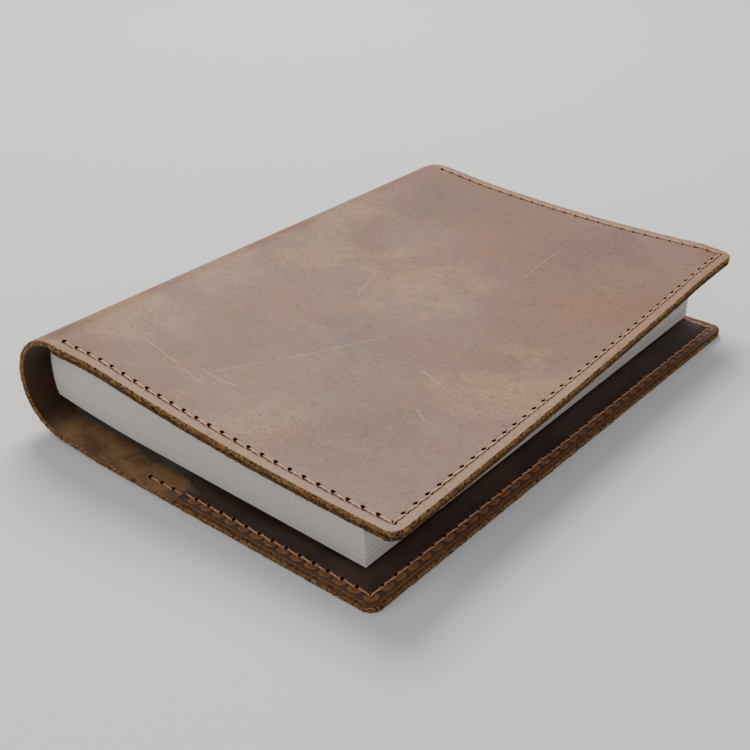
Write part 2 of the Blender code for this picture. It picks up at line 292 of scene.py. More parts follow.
def sewn_pattern(start, marks, pitch_near, pitch_fore, size):
    """The flat mesh of a panel from u = start to its three cut edges, with its needle holes."""
    pattern = Pattern()
    holes = {(round(u, 2), round(t, 2)) for u, t in marks}
    half_near = pitch_near / 2
    count = round(2 * SEAM_T / pitch_fore)
    step = 2 * SEAM_T / count
    stops = [SEAM_U - half_near]
    while stops[-1] - pitch_near > start + 1.2:
        stops.append(stops[-1] - pitch_near)
    stops.append(start)
    stops = stops[::-1]
    ups = [-SEAM_T + (i + 0.5) * step for i in range(count)]

    def split(a, b, pieces):
        return [a + (b - a) * i / pieces for i in range(pieces)]

    leg_points = [q for a, b in zip(stops, stops[1:]) for q in split(a, b, ALONG)] + [stops[-1]]
    fore_points = [q for a, b in zip(ups, ups[1:]) for q in split(a, b, ALONG)] + [ups[-1]]
    across = [-BAND + 2 * BAND * i / ACROSS for i in range(ACROSS + 1)]

    def cell(a0, a1, hole_at, place_point):
        """One stitch's stretch of the seam band. place_point turns (along, across) into (u, t)."""
        if hole_at is None:
            grid = [[pattern.point(*place_point(a, b)) for a in split(a0, a1, ALONG) + [a1]] for b in across]
            pattern.rows(grid)
            return
        edge = [place_point(a, -BAND) for a in split(a0, a1, ALONG)]
        edge += [place_point(a1, b) for b in across[:-1]]
        edge += [place_point(a, BAND) for a in split(a1, a0, ALONG)]
        edge += [place_point(a0, b) for b in reversed(across[1:])]
        pierced(pattern, edge, inside_of(hole_at), slant_at(hole_at), size)

    def inside_of(mark):
        """The hole's middle, a little to the inner side of the seam line."""
        u, t = mark
        if abs(abs(t) - SEAM_T) < 1e-6:
            return np.array((u, t - math.copysign(HOLE_SHIFT, t)))
        return np.array((u - HOLE_SHIFT, t))

    def slant_at(mark):
        u, t = mark
        if abs(abs(t) - SEAM_T) < 1e-6:
            return HOLE_SLANT if t < 0 else math.pi + HOLE_SLANT
        return math.pi / 2 + HOLE_SLANT

    for edge_t in (-1, 1):
        for a, b in zip(stops, stops[1:]):
            middle = [u for u, t in marks if a < u < b and abs(t - edge_t * SEAM_T) < 1e-6]
            found = (middle[0], edge_t * SEAM_T) if middle else None
            cell(a, b, found, lambda along, over: (along, edge_t * (SEAM_T + over)))
    for a, b in zip(ups, ups[1:]):
        middle = (a + b) / 2
        found = (SEAM_U, middle) if (round(SEAM_U, 2), round(middle, 2)) in holes else None
        cell(a, b, found, lambda along, over: (SEAM_U + over, along))

    for edge_t in (-1, 1):
        # The corner's stretch of the band is an L round the seam's sharp corner.
        u0, t0 = stops[-1], -ups[0]
        outer = corner_outer(u0, t0)
        inner = [(SEAM_U - BAND, q) for q in split(t0, SEAM_T - BAND, 3)]
        inner += [(q, SEAM_T - BAND) for q in split(SEAM_U - BAND, u0, 3)]
        loop = outer[:-1]
        loop += [(SEAM_U + b, t0) for b in reversed(across[1:])]
        loop += inner
        loop += [(u0, SEAM_T + b) for b in across[:-1]]
        loop = [(u, edge_t * t) for u, t in loop]
        corner = np.array((SEAM_U - 0.7 * HOLE_SHIFT, edge_t * (SEAM_T - 0.7 * HOLE_SHIFT)))
        pierced(pattern, loop, corner, HOLE_SLANT + math.pi / 4, size)
        # The ring between the band and the plain middle, in the corner
        ring = [(u0, SEAM_T - BAND)] + inner[::-1] + [(SEAM_U - BAND, t0), (u0, t0)]
        pattern.face([pattern.point(u, edge_t * t) for u, t in ring])

    # Plain middle, coarse, and the ring of wider faces that joins it to the band
    grid_u = []
    for a, b in zip(stops, stops[1:]):
        grid_u += split(a, b, 2)
    grid_u.append(stops[-1])
    grid_t = []
    for a, b in zip(ups, ups[1:]):
        grid_t += split(a, b, 2)
    grid_t.append(ups[-1])
    pattern.rows([[pattern.point(u, t) for u in grid_u] for t in grid_t])
    for edge_t in (-1, 1):
        for a, b in zip(grid_u, grid_u[1:]):
            fine = [pattern.point(q, edge_t * (SEAM_T - BAND)) for q in split(a, b, ALONG // 2) + [b]]
            coarse = [pattern.point(b, edge_t * ups[-1]), pattern.point(a, edge_t * ups[-1])]
            pattern.face(fine + coarse)
    for a, b in zip(grid_t, grid_t[1:]):
        fine = [pattern.point(SEAM_U - BAND, q) for q in split(a, b, ALONG // 2) + [b]]
        pattern.face(fine + [pattern.point(stops[-1], b), pattern.point(stops[-1], a)])

    # Border, from the band's outer edge to the top of the bevel
    corner_step = 2 * CORNER_HALF
    band_edge = [(u, -SEAM_T - BAND) for u in leg_points]
    band_edge += [(u, -t) for u, t in corner_outer(stops[-1], -ups[0])[1:-1]]
    band_edge += [(SEAM_U + BAND, t) for t in fore_points]
    band_edge += [(u, -t) for u, t in reversed(band_edge[: len(leg_points) + corner_step - 1])]
    rim = outline(BEVEL, leg_points, corner_step, fore_points)
    band_edge, rim = np.array(band_edge), np.array(rim)
    grid = []
    for share in (0, 0.3, 0.6, 0.85, 1.0):
        grid.append([pattern.point(*q) for q in band_edge + (rim - band_edge) * share])
    pattern.rows(grid)
    return pattern, (leg_points, corner_step, fore_points)


def corner_outer(u0, t0):
    """The band's outer edge round the head corner, from the head leg to the fore-edge leg."""
    top, right = SEAM_T + BAND, SEAM_U + BAND
    path = [(u0 + (right - u0) * i / CORNER_HALF, top) for i in range(CORNER_HALF)]
    return path + [(right, top + (t0 - top) * i / CORNER_HALF) for i in range(CORNER_HALF + 1)]


def warp(side, u, t):
    """Shears the flat panel next to the fold, so that its end is parallel with the fold line."""
    end = (STRIP / 2 + side * t * math.sin(ASKEW)) / math.cos(ASKEW)
    return u + (end - STRIP / 2) * np.clip((27.0 - u) / (27.0 - STRIP / 2), 0, 1) ** 2


def near_seam(u, t):
    """(distance outwards from the seam line, distance from the cut edge), in millimetres."""
    out_u, out_t = u - SEAM_U, np.abs(t) - SEAM_T
    return np.maximum(out_u, out_t), SEAM_INSET - np.maximum(out_u, out_t)


def petals(u, t, marks):
    """The rounded marks pressed beside each hole, on its outer side, from 0 to 1."""
    found = np.zeros(len(u))
    for mark_u, mark_t in marks:
        out = np.array([0.0, math.copysign(1.0, mark_t)])
        if abs(mark_u - SEAM_U) < 1e-6:
            out = np.array([1.0, 0.0])
            if abs(abs(mark_t) - SEAM_T) < 1e-6:
                out = np.array([0.7, 0.7 * math.copysign(1.0, mark_t)])
        du, dt = u - mark_u, t - mark_t
        over = du * out[0] + dt * out[1]
        side = du * out[1] - dt * out[0]
        r = np.hypot(over - 0.55, side * 0.9)
        shape = (1 - smooth(r, 1.55, 2.1)) * smooth(over, -1.3, -0.3)
        found = np.maximum(found, shape)
    return found


def roughness_of_cut(count, rows, closed_ends):
    """Small random outward moves of a cut edge's points, smooth over a few neighbours."""
    rough = random.normal(0, 1, (rows, count))
    slow = np.repeat(random.normal(0, 1, (rows, count // 5 + 2)), 5, 1)[:, :count]
    rough = 0.085 * rough + 0.06 * slow
    rough[0] = 0
    rough[-1] = 0
    if closed_ends:
        fade = np.minimum(np.arange(count), np.arange(count)[::-1]) / 3.0
        rough *= np.clip(fade, 0, 1)
    return rough


class Solid:
    """Sheet points (s, t, n) gathered with their faces, slots and fields, then folded at once."""

    def __init__(self):
        self.points, self.faces, self.slots = [], [], []
        self.mark, self.rim = [], []
        self.count = 0

    def add(self, s, t, n, faces, slot, mark=None, rim=None):
        base = self.count
        self.points.append(np.stack(np.broadcast_arrays(s, t, n), -1).astype(float))
        self.count += len(self.points[-1])
        size = len(self.points[-1])
        self.mark.append(np.zeros(size) if mark is None else mark)
        self.rim.append(np.full(size, 9.0) if rim is None else rim)
        self.faces += [tuple(base + i for i in face) for face in faces]
        self.slots += [slot] * len(faces) if np.isscalar(slot) else list(slot)
        return base

    def build(self, name, looks):
        sheet = np.concatenate(self.points)
        world = fold(sheet[:, 0], sheet[:, 1], sheet[:, 2])
        fields = {
            "sheet": sheet * MM,
            "mark": np.concatenate(self.mark),
            "rim": np.concatenate(self.rim),
        }
        return make(name, world, self.faces, looks, self.slots, fields)


def strip_faces(rows, columns, flip):
    faces = []
    for r in range(rows - 1):
        for c in range(columns - 1):
            a, b = r * columns + c, r * columns + c + 1
            d, e = a + columns, b + columns
            faces.append((a, b, e, d) if flip else (a, d, e, b))
    return faces


def hairs(solid, path, outward, low, high, count, slot):
    """Loose leather fibres that stand out of a cut edge, each a thin tapered spike."""
    path, outward = np.asarray(path), np.asarray(outward)
    for _ in range(count):
        i = int(random.integers(1, len(path) - 2))
        base_n = random.uniform(low, high)
        length = random.gamma(2.0, 0.14) + 0.12
        lean = random.normal(0, 0.9, 2)
        start = path[i] + (path[i + 1] - path[i]) * random.random()
        along = path[i + 1] - path[i]
        along = along / max(1e-6, np.hypot(*along))
        direction = outward[i] * 1.0 + along * lean[0]
        tip = start + direction * length * 0.75
        bend = start + direction * length * 0.4
        tip_n = max(base_n + lean[1] * length * 0.6, 0.05 - HALF_LEATHER)
        width = random.uniform(0.025, 0.055)
        s = [start[0] - along[0] * width, start[0] + along[0] * width, start[0], bend[0], tip[0]]
        t = [start[1] - along[1] * width, start[1] + along[1] * width, start[1], bend[1], tip[1]]
        n = [base_n - width, base_n - width, base_n + width, (base_n + tip_n) / 2 + width, tip_n]
        faces = [(0, 1, 4), (1, 2, 3), (1, 3, 4), (2, 0, 3), (0, 4, 3)]
        solid.add(np.array(s), np.array(t), np.array(n), faces, slot)


def cut_edge(solid, side, paths, levels, flip, slot, closed_ends):
    """The wall of a cut edge. paths gives, for an inset, the (u, t) points along the edge."""
    flats = []
    for inset, _ in levels:
        flats.append(np.array(paths(inset)))
    core = flats[len(flats) // 2]
    tangent = np.gradient(core, axis=0)
    outward = np.stack([tangent[:, 1], -tangent[:, 0]], 1)
    outward /= np.maximum(1e-9, np.hypot(outward[:, 0], outward[:, 1]))[:, None]
    rough = roughness_of_cut(len(core), len(levels), closed_ends)
    points = [flat + outward * rough[i][:, None] for i, flat in enumerate(flats)]
    u = np.concatenate([q[:, 0] for q in points])
    t = np.concatenate([q[:, 1] for q in points])
    n = np.concatenate([np.full(len(core), level) for _, level in levels])
    s, t = to_sheet(side, warp(side, u, t), t) if side else (u, t)
    faces = strip_faces(len(levels), len(core), flip)
    solid.add(s, t, n, faces, slot, rim=np.zeros(len(s)))
    return core, outward


def panel_edge(solid, side, edges, levels, flip, fibres):
    """The cut edge round a panel's three free sides, with its loose fibres (low, high, how many)."""
    core, outward = cut_edge(solid, side, lambda inset: outline(inset, *edges), levels, flip, 2, False)
    s, t = to_sheet(side, warp(side, core[:, 0], core[:, 1]), core[:, 1])
    hairs(solid, np.stack([s, t], 1), outward * np.array([side, 1.0]), *fibres, 2)


def wall_levels(low, high, bevel):
    """(inset, height) down a cut edge: a bevel at the grain side, then a rough wall."""
    levels = [(bevel, low), (bevel * 0.45, low + 0.07), (bevel * 0.12, low + 0.24), (0.0, low + 0.42)]
    steps = max(3, round((high - low - 0.75) / 0.17))
    for i in range(1, steps + 1):
        levels.append((0.0, low + 0.42 + (high - low - 0.7) * i / steps))
    return levels + [(0.12, high - 0.08), (BEVEL, high)]


def leather_levels():
    """The wall of the 2 mm leather, whose grain side drops a little at the cut edge."""
    levels = wall_levels(-HALF_LEATHER, HALF_LEATHER, BEVEL)
    return [(inset, n + (EDGE_DROP if n < -0.9 else 0)) for inset, n in levels]


def build_leather(name, side, marks, pitches, looks):
    """One cover panel's leather, from the roll's first line to the cut edges."""
    body = "back_cover" if side < 0 else "front_cover"
    pattern, edges = sewn_pattern(STRIP / 2, marks, *pitches, LEATHER_HOLE)
    flat = np.array(pattern.points)
    u, t, depth = flat.T
    out, rim = near_seam(u, t)
    settle = smooth(u, STRIP / 2, STRIP / 2 + 4)
    near_line = np.exp(-((out / 0.8) ** 2)) * settle
    groove = (SEAM_GROOVE if side > 0 else SUNK_GROOVE) * near_line
    inner_groove = SEAM_GROOVE * near_line
    edge_drop = EDGE_DROP * np.exp(-((rim / 1.1) ** 2)) * settle
    wave = 0.05 * np.sin(u * 0.9 + 1.3 * np.sin(t * 0.21)) * np.exp(-((out / 3.0) ** 2)) * settle
    solid = Solid()
    s, ts = to_sheet(side, warp(side, u, t), t)
    outer = [f if side > 0 else f[::-1] for f in pattern.faces]
    inner = [f[::-1] for f in outer]
    hole = np.array(pattern.hole)
    solid.add(s, ts, -1 + groove + edge_drop + wave + depth, outer, np.where(hole, 3, 0), rim=rim)
    solid.add(s, ts, 1 - inner_groove - depth, inner, np.where(hole, 3, 1), rim=rim)
    panel_edge(solid, side, edges, leather_levels(), side < 0, (-0.6, 0.8, 420))
    obj = solid.build(name, looks)
    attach(obj, body)
    return obj


def build_roll(number, looks):
    """The spine's leather between two strip middles, round the fold between them."""
    columns = 34
    p = STRIP * (-0.5 + number - 1) + STRIP * np.arange(columns + 1) / columns
    insets = [BEVEL, 0.9, 1.5, 2.3, SEAM_INSET, 6.5, 9.0]
    coarse = np.linspace(-HALF_HEIGHT + 9.0, HALF_HEIGHT - 9.0, 76)[1:-1]
    lines = [-HALF_HEIGHT + q for q in insets] + list(coarse) + [HALF_HEIGHT - q for q in insets[::-1]]
    solid = Solid()

    def at(p_values, t_value):
        return (p_values - MIDDLE + t_value * math.sin(ASKEW)) / math.cos(ASKEW)

    s = np.concatenate([at(p, q) for q in lines])
    t = np.concatenate([np.full(len(p), q) for q in lines])
    rim = HALF_HEIGHT - np.abs(t)
    drop = EDGE_DROP * np.exp(-((rim / 1.1) ** 2))
    solid.add(s, t, -1 + drop, strip_faces(len(lines), len(p), True), 0, rim=rim)
    solid.add(s, t, np.full(len(s), 1.0), strip_faces(len(lines), len(p), False), 1, rim=rim)
    levels = leather_levels()
    for end in (-1, 1):

        def path(inset):
            edge = end * (HALF_HEIGHT - inset)
            order = p if end < 0 else p[::-1]
            return np.stack([at(order, edge), np.full(len(p), edge)], 1)

        core, outward = cut_edge(solid, 0, path, levels, False, 2, True)
        hairs(solid, core, outward, -0.6, 0.8, 38, 2)
    obj = solid.build(f"spine_roll_{number}", looks)
    first = fold(at(p[:1], 0.0), 0.0, 0.0)[0]
    last = fold(at(p[-1:], 0.0), 0.0, 0.0)[0]
    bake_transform(obj)
    return obj


def block_z(x, height):
    """World z at this height above the block's lower face, which rises from the fore-edge to the spine.

    The lowest leaves curve up a little more in their last 50 mm before the spine.
    """
    near_spine = np.clip(1 - (x - BLOCK_X + BLOCK_WIDTH) / SPINE_CURVE, 0, 1) ** 2
    curve = SPINE_CURL * near_spine * max(0.0, 1 - height / BLOCK_HALF)
    return BLOCK_Z + height + BLOCK_RISE * (BLOCK_X - x) / BLOCK_WIDTH + curve


def back_card_low(u, t):
    """In the pocket the card lies on the leather. Before its mouth it follows the page block's underside."""
    mouth = PANEL_WIDTH - BACK_POCKET
    s, _ = to_sheet(-1, u, t)
    p = MIDDLE + s * math.cos(ASKEW) - t * math.sin(ASKEW)
    x = CENTRE_X - STRIP / 2 - p
    under = block_z(x, 0.0) - 0.35 - CARD - HALF_LEATHER
    lying = 1.08
    return lying + (under - lying) * (1 - smooth(u, mouth - 10.0, mouth + 12.0)) - back_lift(p)


def pocket_height(side, u, t, width):
    """The pocket's rise over the card inside it, clear of the seam."""
    _, rim = near_seam(u, t)
    mouth = PANEL_WIDTH - width
    lift = CARD_LIFT
    if side < 0:
        lift = np.maximum(lift, back_card_low(np.maximum(u, mouth), t) + CARD + 0.05 - POCKET_LOW)
    rise = smooth(rim, 4.7, 8.3) * lift
    sag = 0.12 * smooth(u, mouth, mouth + 14) * smooth(rim, 9.0, 30.0)
    return rise + sag * np.sin(u * 0.05) * np.cos(t * 0.035)


def build_pocket(name, side, width, marks, pitches, looks):
    body = "back_cover" if side < 0 else "front_cover"
    mouth = PANEL_WIDTH - width
    inside = [(u, t) for u, t in marks if u > mouth + 0.8]
    pattern, edges = sewn_pattern(mouth, inside, *pitches, POCKET_HOLE)
    flat = np.array(pattern.points)
    u, t, depth = flat.T
    out, rim = near_seam(u, t)
    mark = petals(u, t, inside)
    groove = 0.20 * np.exp(-((out / 0.75) ** 2))
    rise = pocket_height(side, u, t, width)
    high = POCKET_LOW + POCKET_THICK
    top = high + rise - groove - depth * 0.8 + 0.10 * mark - 0.08 * np.exp(-((rim / 0.9) ** 2))
    swell = POCKET_SWELL if side > 0 else 0.0
    top = top + swell * (1 - smooth(rim, 0.4, 3.8))
    low = POCKET_LOW + np.maximum(0, rise)
    solid = Solid()
    s, ts = to_sheet(side, warp(side, u, t), t)
    upper = [f[::-1] if side > 0 else f for f in pattern.faces]
    lower = [f[::-1] for f in upper]
    hole = np.array(pattern.hole)
    solid.add(s, ts, top, upper, np.where(hole, 3, 0), mark=mark, rim=rim)
    solid.add(s, ts, low, lower, 1, rim=rim)
    edge_high = high + swell
    levels = [(a, edge_high - (n - POCKET_LOW)) for a, n in wall_levels(POCKET_LOW, edge_high, BEVEL)]
    levels[0] = (levels[0][0], edge_high - 0.08)
    levels[-1] = (0.02, POCKET_LOW)
    panel_edge(solid, side, edges, levels, side > 0, (1.2, 1.9, 200))
    # The mouth's own cut edge
    t_line = np.linspace(-HALF_HEIGHT + BEVEL, HALF_HEIGHT - BEVEL, 240)
    u_line = np.full(len(t_line), mouth)
    rise = pocket_height(side, u_line, t_line, width)
    rows = []
    for share, back_off in ((0, 0.0), (0.12, -0.1), (0.4, -0.14), (0.7, -0.14), (1.0, 0.0)):
        rows.append((u_line + back_off, high + rise - 0.02 - (POCKET_THICK - 0.02) * share))
    uu = np.concatenate([r[0] for r in rows])
    nn = np.concatenate([r[1] for r in rows])
    tt = np.tile(t_line, len(rows))
    ss, tt = to_sheet(side, warp(side, uu, tt), tt)
    solid.add(ss, tt, nn, strip_faces(len(rows), len(t_line), side > 0), 2, rim=np.zeros(len(ss)))
    obj = solid.build(name, looks)
    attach(obj, body)
    return obj


def stitch(a, b, level, up, slant, radius):
    """One stitch between two holes: a two-ply thread that rises out of one and dives into the next."""
    around, along = 10, 16
    a, b = np.array(a), np.array(b)
    run = b - a
    length = np.hypot(*run)
    run = run / length
    over = np.array([-run[1], run[0]])
    share = np.arange(along + 1) / along
    lean = slant * (0.5 - share) * 2
    centre = a + run * length * (0.03 + 0.94 * share[:, None]) + over * lean[:, None]
    arch = np.minimum(1, np.minimum(share, 1 - share) / 0.16)
    height = level(centre[:, 0], centre[:, 1]) + up * (-0.42 + 0.68 * np.sin(arch * math.pi / 2) ** 1.3)
    angle = np.arange(around) * 2 * math.pi / around
    points = []
    for i in range(along + 1):
        ply = 1 + 0.17 * np.cos(2 * (angle - share[i] * length * 1.15))
        wide = radius * ply * (0.72 + 0.28 * min(1, arch[i] * 1.3))
        side = np.cos(angle) * wide * 1.08
        tall = np.sin(angle) * wide * 0.9
        flat = centre[i] + over * side[:, None]
        points.append(np.column_stack([flat, height[i] + tall]))
    faces = []
    for i in range(along):
        for j in range(around):
            k = (j + 1) % around
            faces.append((i * around + j, i * around + k, (i + 1) * around + k, (i + 1) * around + j))
    faces += [tuple(range(around))[::-1], tuple(range(along * around, (along + 1) * around))]
    return np.concatenate(points), faces


def build_stitches(name, side, marks, level, up, radius, looks):
    """A whole row of stitches. level(u, t) is the height they lie at, and up is the way they arch."""
    solid = Solid()
    for a, b in zip(marks, marks[1:]):
        jitter = STITCH_LEAN * random.uniform(0.75, 1.2)
        points, faces = stitch(a, b, level, up, jitter, radius * random.uniform(0.94, 1.06))
        s, t = to_sheet(side, warp(side, points[:, 0], points[:, 1]), points[:, 1])
        flip = (side * up) > 0
        solid.add(s, t, points[:, 2], [f[::-1] if flip else f for f in faces], 0)
    obj = solid.build(name, looks)
    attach(obj, "back_cover" if side < 0 else "front_cover")
    return obj


def build_card(name, side, start, end, low, look, thick=CARD):
    """A notebook cover card as a closed slab. low(u, t) is its lower face's height in the sheet."""
    columns = np.linspace(start, end, 56)
    half = 101.8
    lines = np.concatenate([[-half, -half + 0.4], np.linspace(-half + 4, half - 4, 40), [half - 0.4, half]])
    solid = Solid()
    u = np.tile(columns, len(lines))
    t = np.repeat(lines, len(columns))
    s, tt = to_sheet(side, u, t)
    base = low(u, t)
    count = len(columns)
    lower = strip_faces(len(lines), count, side < 0)
    upper = strip_faces(len(lines), count, side > 0)
    rim = [i for i in range(count)]
    rim += [r * count + count - 1 for r in range(1, len(lines))]
    rim += [(len(lines) - 1) * count + i for i in range(count - 2, -1, -1)]
    rim += [r * count for r in range(len(lines) - 2, 0, -1)]
    total = len(u)
    wall = []
    for i, a in enumerate(rim):
        b = rim[(i + 1) % len(rim)]
        wall.append((a, b, b + total, a + total) if side < 0 else (b, a, a + total, b + total))
    faces = lower + [tuple(i + total for i in f) for f in upper] + wall
    solid.add(np.tile(s, 2), np.tile(tt, 2), np.concatenate([base, base + thick]), faces, 0)
    obj = solid.build(name, [look])
    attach(obj, "back_cover" if side < 0 else "front_cover")
    return obj


# ---------------------------------------------------------------- the page block


def spine_inset(height):
    share = abs(height - BLOCK_HALF) / (BLOCK_HALF + 0.12)
    return BACK_ROUND * (1 - math.sqrt(max(0.0, 1 - min(1.0, share) ** 2)))


def slab_faces(steps, flip=False):
    """Faces of a slab between two rings, each of steps + 1 points along and as many back."""
    size = 2 * (steps + 1)
    faces = []
    for i in range(size):
        j = (i + 1) % size
        faces.append((i, size + i, size + j, j))
    for i in range(steps):
        quad = (i, i + 1, size - 2 - i, size - 1 - i)
        faces.append(quad)
        faces.append(tuple(q + size for q in quad[::-1]))
    return [f[::-1] for f in faces] if flip else faces


def build_pages(name, first, last, body, look):
    """Signatures of folded leaves. Each leaf bundle is a closed slab, a hair out of line with the next."""
    points, faces, shade = [], [], []
    count = 0
    pitch = SIGNATURE_PITCH
    bundles = LEAF_BUNDLES
    for number in range(first, last + 1):
        base = (number - 1) * pitch
        inset = spine_inset(base + pitch / 2)
        for k in range(bundles):
            low = base + pitch * 0.985 * k / bundles
            gap = 0.10 if number < 5 else 0.025
            high = base + pitch * 0.985 * (k + 1 - gap) / bundles
            away = abs(k - (bundles - 1) / 2) / (bundles / 2)
            tight = 0.4 * (1 - math.sqrt(max(0.0, 1 - (away * 0.92) ** 2)))
            loose = 0.35 + 2.2 * math.exp(-(((number - 1.8) / 1.8) ** 2))
            x_fore = BLOCK_X - 0.10 - abs(random.normal(0, 0.05)) * loose - 0.16 * (1 - away)
            x_spine = BLOCK_X - BLOCK_WIDTH + inset + tight
            y_low = BLOCK_Y[0] + 0.05 + abs(random.normal(0, 0.045)) * loose + 0.05 * (k % 2)
            y_high = BLOCK_Y[1] - 0.05 - abs(random.normal(0, 0.045)) * loose
            columns = x_fore + (x_spine - x_fore) * (np.arange(LEAF_STEPS + 1) / LEAF_STEPS)
            ring = [(x, block_z(x, low)) for x in columns]
            ring += [(x, block_z(x, high)) for x in columns[::-1]]
            for y in (y_low, y_high):
                points.append([(x, y, z) for x, z in ring])
            faces += [tuple(count + q for q in face) for face in slab_faces(LEAF_STEPS)]
            shade.append(np.full(2 * len(ring), random.uniform(0, 1)))
            count += 2 * len(ring)
    fields = {"leaf": np.concatenate(shade)}
    obj = make(name, np.concatenate(points), faces, [look], None, fields)
    obj.data.polygons.foreach_set("use_smooth", np.zeros(len(obj.data.polygons), bool))
    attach(obj, body)
    return obj


def build_lining(name, side, body, look):
    """The glued strip round half of the block's back."""
    steps = 16
    outer, inner = [], []
    for i in range(steps + 1):
        away = 0.25 + (BLOCK_HALF - 1.4) * i / steps
        height = BLOCK_HALF + side * away
        x = BLOCK_X - BLOCK_WIDTH + spine_inset(height) - 0.1
        z = block_z(x, height)
        outer.append((x - 0.5, z))
        inner.append((x, z))
    points = [(x, y, z) for y in BLOCK_Y for x, z in outer + inner[::-1]]
    obj = make(name, points, slab_faces(steps, side > 0), [look])
    obj.data.polygons.foreach_set("use_smooth", np.zeros(len(obj.data.polygons), bool))
    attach(obj, body)
    return obj


# ---------------------------------------------------------------- materials


class Nodes:
    """A short way to write a material's nodes."""

    def __init__(self, name):
        self.material = bpy.data.materials.new(name)
        self.material.use_nodes = True
        self.tree = self.material.node_tree
        self.shader = self.tree.nodes["Principled BSDF"]

    def feed(self, socket, value):
        """Links a socket's value, or sets it. A colour is three numbers."""
        if isinstance(value, bpy.types.NodeSocket):
            self.tree.links.new(value, socket)
        else:
            socket.default_value = (*value, 1.0) if isinstance(value, tuple) else value

    def field(self, name, vector=False):
        made = self.tree.nodes.new("ShaderNodeAttribute")
        made.attribute_name = name
        return made.outputs["Vector" if vector else "Fac"]

    def noise(self, where, scale, detail=3.0, rough=0.5, distortion=0.0, kind="Fac"):
        made = self.tree.nodes.new("ShaderNodeTexNoise")
        self.tree.links.new(where, made.inputs["Vector"])
        values = {"Scale": scale, "Detail": detail, "Roughness": rough, "Distortion": distortion}
        for key, value in values.items():
            made.inputs[key].default_value = value
        return made.outputs[kind]

    def voronoi(self, where, scale, feature="F1", output="Distance"):
        made = self.tree.nodes.new("ShaderNodeTexVoronoi")
        made.feature = feature
        self.tree.links.new(where, made.inputs["Vector"])
        made.inputs["Scale"].default_value = scale
        return made.outputs[output]

    def math(self, operation, a, b=0.0, c=0.0, clamp=False):
        made = self.tree.nodes.new("ShaderNodeMath")
        made.operation = operation
        made.use_clamp = clamp
        for socket, value in zip(made.inputs, (a, b, c)):
            self.feed(socket, value)
        return made.outputs[0]

    def ramp(self, value, low, high, to_low=0.0, to_high=1.0):
        made = self.tree.nodes.new("ShaderNodeMapRange")
        made.interpolation_type = "SMOOTHSTEP"
        self.tree.links.new(value, made.inputs["Value"])
        for key, number in zip(("From Min", "From Max", "To Min", "To Max"), (low, high, to_low, to_high)):
            made.inputs[key].default_value = number
        return made.outputs["Result"]

    def mix(self, share, a, b, mode="MIX"):
        made = self.tree.nodes.new("ShaderNodeMix")
        made.data_type = "RGBA"
        made.blend_type = mode
        made.clamp_factor = True
        for index, value in ((0, share), (6, a), (7, b)):
            self.feed(made.inputs[index], value)
        return made.outputs[2]

    def tint(self, colour, mask, share, shade):
        """The colour, moved towards a shade by up to share where the mask is 1."""
        return self.mix(self.math("MULTIPLY", mask, share), colour, shade)

    def scaled(self, where, scale, rotation=(0, 0, 0), move=(0, 0, 0)):
        made = self.tree.nodes.new("ShaderNodeMapping")
        self.tree.links.new(where, made.inputs["Vector"])
        made.inputs["Scale"].default_value = scale
        made.inputs["Rotation"].default_value = rotation
        made.inputs["Location"].default_value = move
        return made.outputs["Vector"]

    def bumps(self, *layers):
        """Bump layers as (height, strength, distance in metres), joined in a chain."""
        normal = None
        for height, strength, distance in layers:
            made = self.tree.nodes.new("ShaderNodeBump")
            made.inputs["Strength"].default_value = strength
            made.inputs["Distance"].default_value = distance
            self.tree.links.new(height, made.inputs["Height"])
            if normal:
                self.tree.links.new(normal, made.inputs["Normal"])
            normal = made.outputs["Normal"]
        self.tree.links.new(normal, self.shader.inputs["Normal"])

    def finish(self, colour, roughness, **constants):
        self.feed(self.shader.inputs["Base Color"], colour)
        self.feed(self.shader.inputs["Roughness"], roughness)
        for key, value in constants.items():
            self.shader.inputs[key.replace("_", " ")].default_value = value
        return self.material


def scratch(nodes, where, a, b, width, wobble):
    """A thin worn line between two sheet points in metres, as a 0 to 1 mask."""
    split = nodes.tree.nodes.new("ShaderNodeSeparateXYZ")
    nodes.tree.links.new(where, split.inputs[0])
    run = np.array(b, float) - np.array(a, float)
    length = float(np.hypot(*run))
    d = run / length
    x = nodes.math("SUBTRACT", split.outputs[0], a[0])
    y = nodes.math("SUBTRACT", split.outputs[1], a[1])
    along = nodes.math("ADD", nodes.math("MULTIPLY", x, d[0]), nodes.math("MULTIPLY", y, d[1]))
    over = nodes.math("SUBTRACT", nodes.math("MULTIPLY", y, d[0]), nodes.math("MULTIPLY", x, d[1]))
    drift = nodes.noise(where, 55.0, 2.0)
    over = nodes.math("ADD", over, nodes.math("MULTIPLY_ADD", drift, wobble, -wobble / 2))
    line = nodes.ramp(nodes.math("ABSOLUTE", over), width * 0.35, width, 1.0, 0.0)
    start = nodes.ramp(along, 0.0, length * 0.08)
    stop = nodes.ramp(along, length * 0.85, length, 1.0, 0.0)
    broken = nodes.ramp(nodes.noise(where, 900.0, 2.0), 0.36, 0.56, 0.25, 1.0)
    mask = nodes.math("MULTIPLY", nodes.math("MULTIPLY", line, start), nodes.math("MULTIPLY", stop, broken))
    return mask


